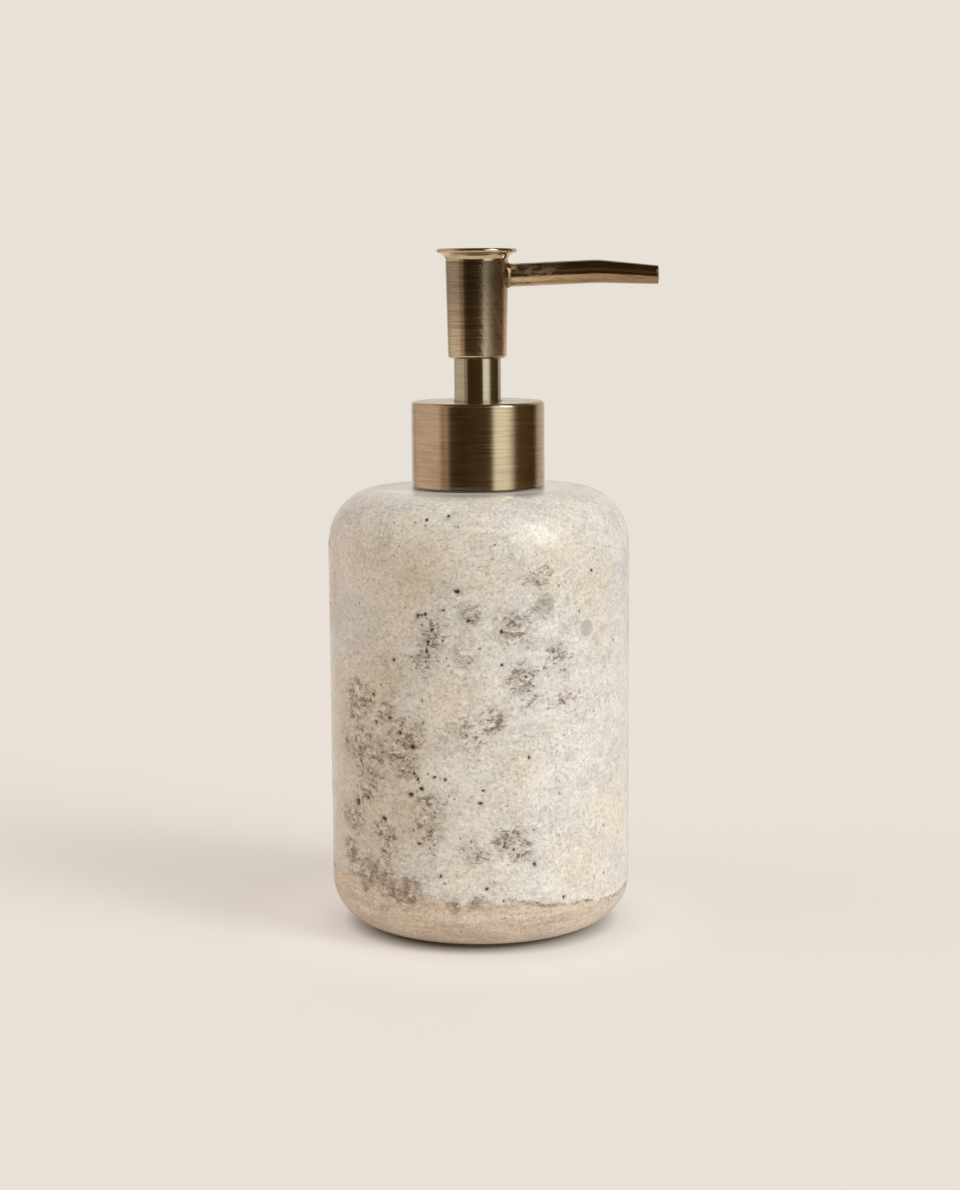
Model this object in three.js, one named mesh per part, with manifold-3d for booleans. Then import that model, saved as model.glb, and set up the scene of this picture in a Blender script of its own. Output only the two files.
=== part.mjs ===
// Soap pump dispenser: a turned travertine vessel with a screw-on lotion pump in an aged brass finish.
// Millimetres, +Z up. The origin is the centre of the face it stands on, and the spout points along +X.
import * as THREE from 'three';
import { mergeVertices } from 'three/addons/utils/BufferGeometryUtils.js';
import Module from 'manifold-3d';

const wasm = await Module();
wasm.setup();

// ---------------------------------------------------------------- driving dimensions
const LARGE_SEGMENTS = 48;
const HEAD_SEGMENTS = 32;
const SMALL_SEGMENTS = 24;
const TOUCH = 0.05; // play between faces that rest on each other
const BOND_GAP = 0.2; // room for the adhesive round a bonded piece

// Stone vessel
const BODY_RADIUS = 37.5;
const BODY_TOP = 109.75;
const SHOULDER_WIDTH = 12.4; // half axes of the shoulder's rounding
const SHOULDER_HEIGHT = 14.0;
const FOOT_ROUND = 11.6;
const PAD_THICKNESS = 0.6;
const PAD_RADIUS = 25.3;
const PLUG_RADIUS = 24.8;
const PLUG_THICKNESS = 6.0;
const BORE_RADIUS = 23.5;
const BORE_TOP = 99.5;
const BORE_CHAMFER = 4; // the bore narrows over this height below its top
const MOUTH_RADIUS = 14.6;

// Collar and the 28 mm bottle neck that it screws onto
const COLLAR_RADIUS = 16.5;
const SHADOW_GAP = 0.35; // open line between the collar and the stone
const COLLAR_BOTTOM = BODY_TOP + SHADOW_GAP;
const COLLAR_TOP = 131.2;
const COLLAR_WALL = 0.6;
const CAP_PLATE = 1.5;
const FLANGE_THICKNESS = 1.2;
const GASKET_THICKNESS = 0.9;
const NECK_OUTER = 12.5;
const NECK_INNER = 11.0;
const NECK_FLANGE_RADIUS = 15.2;
const THREAD_PITCH = 4.23;
const THREAD_TURNS = 1.5;
const THREAD_RUNOUT = 2.6; // from the last turn up to the top of the neck

// Pump engine
const CUP_RADIUS = 7.4; // bore of the housing's upper cup
const GUIDE_RADIUS = 6.05; // bore of the chaplet, in which the neck sleeve runs
const CHAPLET_SEAT = 114.5;
const CYLINDER_RADIUS = 5.6;
const CYLINDER_FLOOR = 86.0;
const NIPPLE_OUTER = 4.4;
const TUBE_SOCKET_DEPTH = 11;
const HOUSING_WALL = 1.1;
const TUBE_OUTER = 3.0;
const TUBE_INNER = 2.1;
const TUBE_PLAY = 0.1; // round the dip tube in its socket
const TUBE_FOOT = 10.0;
const SPRING_MEAN_RADIUS = 4.0;
const SPRING_WIRE = 0.45;
const SPRING_COILS = 7;

// Piston and stem
const STEM_OUTER = 3.4;
const STEM_BORE = 1.7;
const PISTON_BOTTOM = 106.7;
const INLET_BALL = 2.4;
const OUTLET_BALL = 2.0;

// Head and spout
const HEAD_WALL = 0.8;
const HEAD_BOTTOM = 141.7;
const HEAD_TOP = 168.5;
const HEAD_RADIUS_LOW = 7.25;
const HEAD_RADIUS_HIGH = 7.7;
const FLARE_START = 165.5;
const FLARE_RADIUS = 9.95;
const RIM_ROUND = 0.55;
const SLEEVE_RADIUS = 5.82;
const SLEEVE_WALL = 1.0;
const SPOUT_REACH = 44.6;
const SPOUT_KINK = 29.7;
const CORE_PLAY = 0.15; // between the plastic core and the metal shell
const SPOUT_HEIGHT = 161.6; // its axis at the head's own axis
const SPOUT_RISE = 1.2; // from there up to the kink
const SPOUT_DROP = 1.0; // and down again to the tip
const SPOUT_RADIUS = 2.86; // as far as the kink
const SPOUT_TIP_RADIUS = 2.3;
const SPOUT_ROOT = 3.6; // where the tube is seated in the head
const SPOUT_WALL = 0.45;
const PASSAGE_RADIUS = 1.5;

// Levels that follow from the collar's top, downwards
const CAP_TOP = COLLAR_TOP - COLLAR_WALL - TOUCH;
const CAP_PLATE_BOTTOM = CAP_TOP - CAP_PLATE;
const HOUSING_TOP = CAP_PLATE_BOTTOM - TOUCH;
const FLANGE_BOTTOM = HOUSING_TOP - FLANGE_THICKNESS;
const NECK_LAND = FLANGE_BOTTOM - GASKET_THICKNESS - TOUCH;
const NECK_THREAD_START = NECK_LAND - THREAD_RUNOUT - THREAD_PITCH * THREAD_TURNS;

// Levels of the piston group
const SPRING_SEAT = CYLINDER_FLOOR + TOUCH;
const STEM_FOOT = PISTON_BOTTOM + 1.2;
const STEM_FLANGE_BOTTOM = STEM_FOOT + 6.1;
const INLET_SEAT = CYLINDER_FLOOR - 5.6;
const INLET_BORE = 1.7;
const OUTLET_BORE = 1.3;
const SLEEVE_BOTTOM = 125.4;
const SLEEVE_TOP = 146.0;
const SOCKET_TOP = 157.0;

// ---------------------------------------------------------------- shape helpers

// A solid of revolution from [radius, height] points, listed up the outside and down the inside.
function revolve(points, segments) {
  const outline = points.map(([radius, height]) => new THREE.Vector2(radius, height));
  const geometry = new THREE.LatheGeometry(outline, segments);
  geometry.rotateX(Math.PI / 2);
  return geometry;
}

// A plain tube or washer between two heights.
function ring(inner, outer, bottom, top, segments) {
  return revolve([[inner, bottom], [outer, bottom], [outer, top], [inner, top], [inner, bottom]], segments);
}

// Points of an arc in the outline, angles in degrees. A second radius makes it elliptical.
function arc(centreRadius, centreHeight, radius, from, to, steps, rise = radius) {
  const points = [];
  for (let step = 0; step <= steps; step += 1) {
    const angle = THREE.MathUtils.degToRad(from + (to - from) * step / steps);
    points.push([centreRadius + radius * Math.cos(angle), centreHeight + rise * Math.sin(angle)]);
  }
  return points;
}

// A plain rod between two heights.
function rod(radius, bottom, top, segments) {
  return revolve([[0, bottom], [radius, bottom], [radius, top], [0, top]], segments);
}

function ball(radius, height) {
  const quarter = arc(0, height, radius, -90, 90, 8);
  quarter[0][0] = 0;
  quarter[quarter.length - 1][0] = 0;
  return revolve(quarter, 16);
}

// A round section drawn as a polygon.
function roundShape(radius, sides) {
  const corners = [];
  for (let side = 0; side < sides; side += 1) {
    const angle = 2 * Math.PI * side / sides;
    corners.push(new THREE.Vector2(radius * Math.cos(angle), radius * Math.sin(angle)));
  }
  return new THREE.Shape(corners);
}

class Helix extends THREE.Curve {
  constructor(radius, pitch, turns, bottom) {
    super();
    Object.assign(this, { radius, pitch, turns, bottom });
  }

  getPoint(t, target = new THREE.Vector3()) {
    const angle = 2 * Math.PI * this.turns * t;
    const height = this.bottom + this.pitch * this.turns * t;
    return target.set(this.radius * Math.cos(angle), this.radius * Math.sin(angle), height);
  }
}

function coil(helix, sectionRadius, sides, stepsPerTurn) {
  const steps = Math.round(helix.turns * stepsPerTurn);
  const settings = { steps, extrudePath: helix, curveSegments: 1, bevelEnabled: false };
  return new THREE.ExtrudeGeometry(roundShape(sectionRadius, sides), settings);
}

// Turns a closed geometry into a solid that can be joined or cut, leaving out collapsed triangles.
function toSolid(geometry) {
  const bare = geometry.clone();
  bare.deleteAttribute('normal');
  bare.deleteAttribute('uv');
  const merged = mergeVertices(bare, 1e-4);
  const index = merged.index.array;
  const kept = [];
  for (let corner = 0; corner < index.length; corner += 3) {
    const [a, b, c] = index.slice(corner, corner + 3);
    if (a !== b && b !== c && c !== a) kept.push(a, b, c);
  }
  const vertProperties = new Float32Array(merged.attributes.position.array);
  return new wasm.Manifold(new wasm.Mesh({ numProp: 3, vertProperties, triVerts: new Uint32Array(kept) }));
}

function toGeometry(solid) {
  const mesh = solid.getMesh();
  const geometry = new THREE.BufferGeometry();
  geometry.setAttribute('position', new THREE.BufferAttribute(mesh.vertProperties, mesh.numProp));
  geometry.setIndex(new THREE.BufferAttribute(mesh.triVerts, 1));
  return geometry;
}

function joined(first, second) {
  return toGeometry(toSolid(first).add(toSolid(second)));
}

function cut(geometry, ...tools) {
  return toGeometry(tools.reduce((solid, tool) => solid.subtract(toSolid(tool)), toSolid(geometry)));
}

// A round bar along +X.
function barAlongX(radius, from, to, height, sides) {
  const geometry = new THREE.CylinderGeometry(radius, radius, to - from, sides);
  geometry.rotateZ(Math.PI / 2);
  geometry.translate((from + to) / 2, 0, height);
  return geometry;
}

// ---------------------------------------------------------------- finishes
const FINISHES = {
  stone: { color: 0xcdc3b0, roughness: 0.32, metalness: 0 },
  brass: { color: 0x8a6a45, roughness: 0.28, metalness: 1 },
  polypropylene: { color: 0xe6e4de, roughness: 0.5, metalness: 0 },
  polyethylene: { color: 0xdfe3e2, roughness: 0.45, metalness: 0 },
  rubber: { color: 0x3a3733, roughness: 0.85, metalness: 0 },
  steel: { color: 0xb9bcc0, roughness: 0.25, metalness: 1 },
  glass: { color: 0xcfd8d8, roughness: 0.05, metalness: 0 },
};

const dispenser = new THREE.Group();

function addPiece(name, geometry, finish) {
  const mesh = new THREE.Mesh(geometry, new THREE.MeshStandardMaterial(FINISHES[finish]));
  mesh.name = name;
  dispenser.add(mesh);
}

// ---------------------------------------------------------------- vessel

// The turned stone wall: straight sides, rounded shoulder and foot, bored from below, with a mouth on top.
function stoneBody() {
  const shoulderRadius = BODY_RADIUS - SHOULDER_WIDTH;
  const shoulder = arc(shoulderRadius, BODY_TOP - SHOULDER_HEIGHT, SHOULDER_WIDTH, 0, 90, 6, SHOULDER_HEIGHT);
  const foot = arc(BODY_RADIUS - FOOT_ROUND, PAD_THICKNESS + FOOT_ROUND, FOOT_ROUND, -90, 0, 5);
  const plugRecess = PLUG_RADIUS + BOND_GAP;
  const plugShelf = PAD_THICKNESS + PLUG_THICKNESS + TOUCH;
  return revolve([
    [plugRecess, PAD_THICKNESS],
    ...foot,
    ...shoulder,
    [MOUTH_RADIUS, BODY_TOP],
    [MOUTH_RADIUS, BORE_TOP],
    [BORE_RADIUS - BORE_CHAMFER, BORE_TOP],
    [BORE_RADIUS, BORE_TOP - BORE_CHAMFER],
    [BORE_RADIUS, plugShelf],
    [plugRecess, plugShelf],
    [plugRecess, PAD_THICKNESS],
  ], LARGE_SEGMENTS);
}

function basePlug() {
  const top = PAD_THICKNESS + PLUG_THICKNESS;
  return rod(PLUG_RADIUS, PAD_THICKNESS, top, LARGE_SEGMENTS);
}

function basePad() {
  return rod(PAD_RADIUS, 0, PAD_THICKNESS, LARGE_SEGMENTS);
}

// The bushing bonded into the mouth, with the threaded neck that the collar screws onto.
function neckInsert() {
  const flangeBottom = BODY_TOP;
  const flangeTop = flangeBottom + FLANGE_THICKNESS;
  const skirtBottom = BORE_TOP + 1;
  const skirt = MOUTH_RADIUS - BOND_GAP;
  const wall = revolve([
    [NECK_INNER, skirtBottom],
    [skirt, skirtBottom],
    [skirt, flangeBottom],
    [NECK_FLANGE_RADIUS, flangeBottom],
    [NECK_FLANGE_RADIUS, flangeTop],
    [NECK_OUTER, flangeTop],
    [NECK_OUTER, NECK_LAND],
    [NECK_INNER, NECK_LAND],
    [NECK_INNER, skirtBottom],
  ], SMALL_SEGMENTS);
  const thread = new Helix(NECK_OUTER + 0.1, THREAD_PITCH, THREAD_TURNS, NECK_THREAD_START);
  return joined(wall, coil(thread, 1.0, 6, SMALL_SEGMENTS));
}

// ---------------------------------------------------------------- collar

function collarShell() {
  const edge = 0.95;
  const lip = 0.15;
  const hole = GUIDE_RADIUS + 0.2;
  const inner = COLLAR_RADIUS - COLLAR_WALL;
  return revolve([
    [inner, COLLAR_BOTTOM],
    [COLLAR_RADIUS - lip, COLLAR_BOTTOM],
    [COLLAR_RADIUS, COLLAR_BOTTOM + lip],
    ...arc(COLLAR_RADIUS - edge, COLLAR_TOP - edge, edge, 0, 90, 3),
    [hole, COLLAR_TOP],
    [hole, COLLAR_TOP - COLLAR_WALL],
    [inner, COLLAR_TOP - COLLAR_WALL],
    [inner, COLLAR_BOTTOM],
  ], LARGE_SEGMENTS);
}

// The plastic closure inside the metal shell. Its counterbored hole is held under the chaplet's lip.
function screwCap() {
  const outer = COLLAR_RADIUS - COLLAR_WALL - 0.15;
  const inner = NECK_OUTER + 1.6;
  const hole = CUP_RADIUS + 0.15;
  const counterbore = hole + 1.3;
  const bottom = BODY_TOP + FLANGE_THICKNESS + 0.7;
  const lipSeat = CAP_TOP - 0.6;
  const wall = revolve([
    [inner, bottom],
    [outer, bottom],
    [outer, CAP_TOP],
    [counterbore, CAP_TOP],
    [counterbore, lipSeat],
    [hole, lipSeat],
    [hole, CAP_PLATE_BOTTOM],
    [inner, CAP_PLATE_BOTTOM],
    [inner, bottom],
  ], SMALL_SEGMENTS);
  const start = NECK_THREAD_START - THREAD_PITCH / 2;
  const thread = new Helix(inner - 0.05, THREAD_PITCH, THREAD_TURNS, start);
  return joined(wall, coil(thread, 0.8, 6, SMALL_SEGMENTS));
}

// ---------------------------------------------------------------- pump engine

// Flange on the neck, cup for the chaplet, cylinder, inlet ball pocket and dip tube socket in one moulding.
function pumpHousing() {
  const cupOuter = CUP_RADIUS + HOUSING_WALL;
  const cylinderOuter = CYLINDER_RADIUS + HOUSING_WALL;
  const pocket = INLET_BALL + 0.7;
  const bead = INLET_BALL - 0.4;
  const beadBottom = INLET_SEAT + 4.6;
  const socketTop = INLET_SEAT - 0.8;
  const socketFoot = socketTop - TUBE_SOCKET_DEPTH;
  return revolve([
    [TUBE_OUTER + TUBE_PLAY, socketFoot],
    [NIPPLE_OUTER, socketFoot],
    [NIPPLE_OUTER, CYLINDER_FLOOR - 2],
    [cylinderOuter, CYLINDER_FLOOR],
    [cylinderOuter, CHAPLET_SEAT - 1.5],
    [cupOuter, CHAPLET_SEAT],
    [cupOuter, FLANGE_BOTTOM],
    [NECK_OUTER + 0.8, FLANGE_BOTTOM],
    [NECK_OUTER + 0.8, HOUSING_TOP],
    [CUP_RADIUS, HOUSING_TOP],
    [CUP_RADIUS, CHAPLET_SEAT],
    [CYLINDER_RADIUS, CHAPLET_SEAT],
    [CYLINDER_RADIUS, CYLINDER_FLOOR],
    [pocket, CYLINDER_FLOOR],
    [bead, beadBottom + 0.6],
    [bead, beadBottom],
    [pocket, beadBottom - 0.6],
    [pocket, INLET_SEAT + 1.2],
    [INLET_BORE, INLET_SEAT],
    [INLET_BORE, socketTop],
    [TUBE_OUTER + TUBE_PLAY, socketTop],
    [TUBE_OUTER + TUBE_PLAY, socketFoot],
  ], SMALL_SEGMENTS);
}

// The snap-in guide: a lip that holds the screw cap, a bore for the sleeve and a stop for the stem flange.
function chaplet() {
  const outer = CUP_RADIUS - 0.2;
  const bottom = CHAPLET_SEAT + TOUCH;
  const lipBottom = CAP_TOP - 0.55;
  return revolve([
    [STEM_OUTER + 0.35, bottom],
    [outer, bottom],
    [outer, lipBottom],
    [outer + 1.2, lipBottom],
    [outer + 1.2, CAP_TOP - TOUCH],
    [GUIDE_RADIUS, CAP_TOP - TOUCH],
    [GUIDE_RADIUS, bottom + 1.4],
    [STEM_OUTER + 0.35, bottom + 1.4],
    [STEM_OUTER + 0.35, bottom],
  ], SMALL_SEGMENTS);
}

function neckGasket() {
  return ring(CUP_RADIUS + 1.2, NECK_OUTER + 0.6, NECK_LAND + TOUCH, FLANGE_BOTTOM, SMALL_SEGMENTS);
}

function dipTube() {
  return ring(TUBE_INNER, TUBE_OUTER, TUBE_FOOT, INLET_SEAT - 0.9, SMALL_SEGMENTS);
}

function returnSpring() {
  const bottom = SPRING_SEAT + SPRING_WIRE;
  const top = PISTON_BOTTOM - TOUCH - SPRING_WIRE;
  const wire = new Helix(SPRING_MEAN_RADIUS, (top - bottom) / SPRING_COILS, SPRING_COILS, bottom);
  return coil(wire, SPRING_WIRE, 6, 14);
}

// ---------------------------------------------------------------- piston

// The double-lipped seal that sweeps the cylinder, held between the stem's flange and the spring cup.
function pistonSeal() {
  const bore = STEM_OUTER + 0.15;
  const lip = CYLINDER_RADIUS - 0.1;
  const waist = lip - 0.8;
  const bottom = STEM_FOOT + TOUCH;
  const top = STEM_FLANGE_BOTTOM - TOUCH;
  return revolve([
    [bore, bottom],
    [waist, bottom],
    [lip, bottom + 0.3],
    [lip, bottom + 1.0],
    [waist, bottom + 1.6],
    [waist, top - 1.6],
    [lip, top - 1.0],
    [lip, top - 0.3],
    [waist, top],
    [bore, top],
    [bore, bottom],
  ], SMALL_SEGMENTS);
}

// Takes the spring's push on its flange and carries the seat of the outlet ball.
function springCup() {
  const tail = SPRING_MEAN_RADIUS - SPRING_WIRE - 0.45;
  const tailFoot = PISTON_BOTTOM - 5.5;
  return revolve([
    [OUTLET_BORE, tailFoot],
    [tail, tailFoot],
    [tail, PISTON_BOTTOM],
    [CYLINDER_RADIUS - 0.6, PISTON_BOTTOM],
    [CYLINDER_RADIUS - 0.6, STEM_FOOT - TOUCH],
    [OUTLET_BORE, STEM_FOOT - TOUCH],
    [OUTLET_BORE, tailFoot],
  ], SMALL_SEGMENTS);
}

// ---------------------------------------------------------------- head

// The hollow rod from the piston up into the head, with the outlet ball's chamber at its foot.
function stem() {
  const chamber = OUTLET_BALL + 0.6;
  const chamberTop = STEM_FOOT + 3.8;
  const flange = CYLINDER_RADIUS - 1.0;
  return revolve([
    [chamber, STEM_FOOT],
    [STEM_OUTER, STEM_FOOT],
    [STEM_OUTER, STEM_FLANGE_BOTTOM],
    [flange, STEM_FLANGE_BOTTOM],
    [flange, CHAPLET_SEAT - TOUCH],
    [STEM_OUTER, CHAPLET_SEAT - TOUCH],
    [STEM_OUTER, SOCKET_TOP - TOUCH],
    [STEM_BORE, SOCKET_TOP - TOUCH],
    [STEM_BORE, chamberTop + 0.4],
    [chamber, chamberTop],
    [chamber, STEM_FOOT],
  ], SMALL_SEGMENTS);
}

function neckSleeve() {
  return ring(SLEEVE_RADIUS - SLEEVE_WALL, SLEEVE_RADIUS, SLEEVE_BOTTOM, SLEEVE_TOP, HEAD_SEGMENTS);
}

// The plastic core of the head: stem socket below, then a passage up and out to the spout.
function actuatorInsert() {
  const outer = HEAD_RADIUS_LOW - HEAD_WALL - CORE_PLAY;
  const spigot = SLEEVE_RADIUS - SLEEVE_WALL - BOND_GAP;
  const core = revolve([
    [0, HEAD_BOTTOM + 0.3],
    [spigot, HEAD_BOTTOM + 0.3],
    [spigot, SLEEVE_TOP + 0.2],
    [outer, SLEEVE_TOP + 0.2],
    [outer, FLARE_START - 0.3],
    [0, FLARE_START - 0.3],
  ], SMALL_SEGMENTS);
  const socket = rod(STEM_OUTER + 0.1, HEAD_BOTTOM, SOCKET_TOP, SMALL_SEGMENTS);
  const riser = rod(PASSAGE_RADIUS, HEAD_BOTTOM, SPOUT_HEIGHT, 12);
  const outlet = barAlongX(PASSAGE_RADIUS, 0, HEAD_RADIUS_HIGH + 1, SPOUT_HEIGHT, 12);
  const spoutSocket = spoutBar(SPOUT_ROOT - 0.4, HEAD_RADIUS_HIGH + 1, CORE_PLAY, 16);
  return cut(core, socket, riser, outlet, spoutSocket);
}

// The brushed barrel of the head, slightly wider towards the top, turned in at its lower edge.
function headShell() {
  const inner = HEAD_RADIUS_LOW - HEAD_WALL;
  const lip = SLEEVE_RADIUS + CORE_PLAY;
  const edge = 0.8;
  const top = FLARE_START - 0.05;
  const shell = revolve([
    [lip, HEAD_BOTTOM],
    ...arc(HEAD_RADIUS_LOW - edge, HEAD_BOTTOM + edge, edge, -90, 0, 3),
    [HEAD_RADIUS_HIGH, top],
    [inner, top],
    [inner, HEAD_BOTTOM + 1.0],
    [lip, HEAD_BOTTOM + 1.0],
    [lip, HEAD_BOTTOM],
  ], HEAD_SEGMENTS);
  return cut(shell, spoutBar(SPOUT_ROOT - 0.6, HEAD_RADIUS_HIGH + 2, 0.1, 24));
}

// The polished finger pad: a trumpet flare to a rounded rim, with a spigot that presses into the barrel.
function headCap() {
  const spigot = HEAD_RADIUS_LOW - HEAD_WALL - CORE_PLAY;
  const spigotFoot = FLARE_START - 0.15;
  const coveWidth = FLARE_RADIUS - RIM_ROUND - HEAD_RADIUS_HIGH;
  const coveHeight = HEAD_TOP - 2 * RIM_ROUND - FLARE_START - 0.1;
  const coveCentre = HEAD_RADIUS_HIGH + coveWidth;
  return revolve([
    [0, spigotFoot],
    [spigot, spigotFoot],
    [spigot, FLARE_START],
    ...arc(coveCentre, FLARE_START, coveWidth, 180, 110, 4, coveHeight),
    ...arc(FLARE_RADIUS - RIM_ROUND, HEAD_TOP - RIM_ROUND, RIM_ROUND, -60, 90, 5),
    [0, HEAD_TOP],
  ], HEAD_SEGMENTS);
}

// Height of the spout's axis at a given reach: a gentle rise to the kink, then a steeper fall to the tip.
function spoutAxisHeight(reach) {
  const beyond = Math.max(reach - SPOUT_KINK, 0) / (SPOUT_REACH - SPOUT_KINK);
  return SPOUT_HEIGHT + SPOUT_RISE * Math.min(reach / SPOUT_KINK, 1) - SPOUT_DROP * beyond;
}

function spoutRadius(reach) {
  const beyond = THREE.MathUtils.clamp((reach - SPOUT_KINK) / (SPOUT_REACH - SPOUT_KINK), 0, 1);
  return THREE.MathUtils.lerp(SPOUT_RADIUS, SPOUT_TIP_RADIUS, beyond);
}

// A bar that follows the spout's axis and taper; swelling is added to the outer radius all along.
function spoutBar(from, to, swelling, sides) {
  const bends = [SPOUT_KINK - 1.5, SPOUT_KINK, SPOUT_KINK + 1.5].filter((reach) => reach < to);
  const steps = [from, ...bends, to];
  const bar = new THREE.CylinderGeometry(1, 1, steps.length - 1, sides, steps.length - 1);
  bar.rotateZ(Math.PI / 2);
  bar.translate((steps.length - 1) / 2, 0, 0);
  const points = bar.attributes.position;
  for (let index = 0; index < points.count; index += 1) {
    const reach = steps[Math.round(points.getX(index))];
    const radius = spoutRadius(reach) + swelling;
    const height = spoutAxisHeight(reach) + radius * points.getZ(index);
    points.setXYZ(index, reach, radius * points.getY(index), height);
  }
  return bar;
}

function spoutTube() {
  const outside = spoutBar(SPOUT_ROOT, SPOUT_REACH, 0, 16);
  const inside = spoutBar(SPOUT_ROOT - 1, SPOUT_REACH + 1, -SPOUT_WALL, 16);
  return cut(outside, inside);
}

function spoutLiner() {
  const gap = SPOUT_WALL + 0.2;
  const outside = spoutBar(SPOUT_ROOT + 0.2, SPOUT_REACH - 0.6, -gap, 12);
  const inside = spoutBar(SPOUT_ROOT - 1, SPOUT_REACH + 1, -gap - 0.55, 12);
  return cut(outside, inside);
}

// ---------------------------------------------------------------- check valve balls
function inletBall() {
  const rise = Math.sqrt(INLET_BALL ** 2 - INLET_BORE ** 2);
  return ball(INLET_BALL, INLET_SEAT + rise + 0.25);
}

function outletBall() {
  const rise = Math.sqrt(OUTLET_BALL ** 2 - OUTLET_BORE ** 2);
  return ball(OUTLET_BALL, STEM_FOOT - TOUCH + rise + 0.06);
}

// ---------------------------------------------------------------- assembly
addPiece('stone_body', stoneBody(), 'stone');
addPiece('base_plug', basePlug(), 'stone');
addPiece('base_pad', basePad(), 'rubber');
addPiece('neck_insert', neckInsert(), 'polypropylene');
addPiece('collar_shell', collarShell(), 'brass');
addPiece('screw_cap', screwCap(), 'polypropylene');
addPiece('pump_housing', pumpHousing(), 'polypropylene');
addPiece('chaplet', chaplet(), 'polypropylene');
addPiece('neck_gasket', neckGasket(), 'rubber');
addPiece('dip_tube', dipTube(), 'polyethylene');
addPiece('return_spring', returnSpring(), 'steel');
addPiece('piston_seal', pistonSeal(), 'polyethylene');
addPiece('spring_cup', springCup(), 'polypropylene');
addPiece('stem', stem(), 'polypropylene');
addPiece('neck_sleeve', neckSleeve(), 'brass');
addPiece('actuator_insert', actuatorInsert(), 'polypropylene');
addPiece('head_shell', headShell(), 'brass');
addPiece('head_cap', headCap(), 'brass');
addPiece('spout_tube', spoutTube(), 'brass');
addPiece('spout_liner', spoutLiner(), 'polyethylene');
addPiece('inlet_ball', inletBall(), 'glass');
addPiece('outlet_ball', outletBall(), 'glass');

export default dispenser;
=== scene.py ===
"""Looks for the soap pump dispenser: a travertine vessel and an aged-brass lotion pump in a pale studio."""

import math
import bmesh
import bpy
import numpy as np
from mathutils import Euler, Matrix, Vector, noise as mesh_noise


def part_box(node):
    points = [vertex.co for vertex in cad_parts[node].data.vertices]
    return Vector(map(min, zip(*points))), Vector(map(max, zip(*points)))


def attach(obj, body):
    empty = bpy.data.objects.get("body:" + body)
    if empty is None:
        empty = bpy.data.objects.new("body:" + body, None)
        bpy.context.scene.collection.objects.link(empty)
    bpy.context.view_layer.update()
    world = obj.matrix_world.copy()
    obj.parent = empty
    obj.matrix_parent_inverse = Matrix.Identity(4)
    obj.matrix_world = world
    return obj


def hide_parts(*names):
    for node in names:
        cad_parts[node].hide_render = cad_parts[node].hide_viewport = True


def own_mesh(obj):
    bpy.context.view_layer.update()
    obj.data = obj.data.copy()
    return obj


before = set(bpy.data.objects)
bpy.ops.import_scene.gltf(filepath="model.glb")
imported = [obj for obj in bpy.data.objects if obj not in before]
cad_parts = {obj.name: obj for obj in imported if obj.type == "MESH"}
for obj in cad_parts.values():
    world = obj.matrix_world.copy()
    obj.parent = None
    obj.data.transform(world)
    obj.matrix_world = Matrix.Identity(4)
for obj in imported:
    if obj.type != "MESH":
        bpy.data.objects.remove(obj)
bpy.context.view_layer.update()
MM = 0.001

# ---- driving sizes: boxes from the frame, and given sizes
STONE_LOW, STONE_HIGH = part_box("stone_body")
COLLAR_LOW, COLLAR_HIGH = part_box("collar_shell")
HEAD_LOW, HEAD_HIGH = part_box("head_shell")
CAP_LOW, CAP_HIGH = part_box("head_cap")
SPOUT_LOW, SPOUT_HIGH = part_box("spout_tube")
SPRING_LOW, SPRING_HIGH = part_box("return_spring")
BODY_RADIUS = STONE_HIGH.x
SHOULDER_WIDTH = 12.4 * MM
SHOULDER_HEIGHT = 14.0 * MM
FOOT_ROUND = 11.6 * MM
BARREL_FOOT_RADIUS = 7.25 * MM
SPOUT_AXIS = 161.6 * MM  # height at the root
SPOUT_KINK = 29.7 * MM  # distance from the axis of the head
SPOUT_RISE = 1.2 * MM
SPOUT_DROP = 1.0 * MM
SPOUT_RADIUS = 2.86 * MM
SPOUT_TIP_RADIUS = 2.3 * MM
SPOUT_ROOT = 7.75 * MM
BEAD_WIDTH = 0.3 * MM
THREAD_PITCH = 4.23 * MM
THREAD_TURNS = 1.5
THREAD_FROM_TOP = 2.6 * MM
EDGE = 0.12 * MM
SHARP_ANGLE = 40

BRASS = (0.60, 0.48, 0.31)
BACKDROP = (0.807, 0.753, 0.687)
FLOOR = (0.457, 0.4245, 0.387)


# ---- mesh helpers
def arc(radius_at, height_at, radius, start, end, steps, rise=None):
    """Points of an arc in a (radius, height) outline, angles in degrees; rise makes it elliptical."""
    angles = np.radians(np.linspace(start, end, steps + 1))
    rise = radius if rise is None else rise
    return [(radius_at + radius * math.cos(a), height_at + rise * math.sin(a)) for a in angles]


def run(start, end, steps):
    """Points between start and end, both left out."""
    shares = [(i + 1) / steps for i in range(steps - 1)]
    return [(start[0] + (end[0] - start[0]) * s, start[1] + (end[1] - start[1]) * s) for s in shares]


def linked(name, data):
    """A new object of the scene."""
    made = bpy.data.objects.new(name, data)
    bpy.context.scene.collection.objects.link(made)
    return made


def shade(mesh, sharp_angle):
    mesh.shade_smooth()
    mesh.set_sharp_from_angle(angle=math.radians(sharp_angle))


def mesh_object(name, verts, faces, sharp_angle=SHARP_ANGLE):
    mesh = bpy.data.meshes.new(name)
    mesh.from_pydata([tuple(v) for v in verts], [], faces)
    mesh.update()
    shade(mesh, sharp_angle)
    return linked(name, mesh)


def circle(sides):
    """The cosine and sine of each point of a ring."""
    turns = [2 * math.pi * i / sides for i in range(sides)]
    return [(math.cos(turn), math.sin(turn)) for turn in turns]


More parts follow.
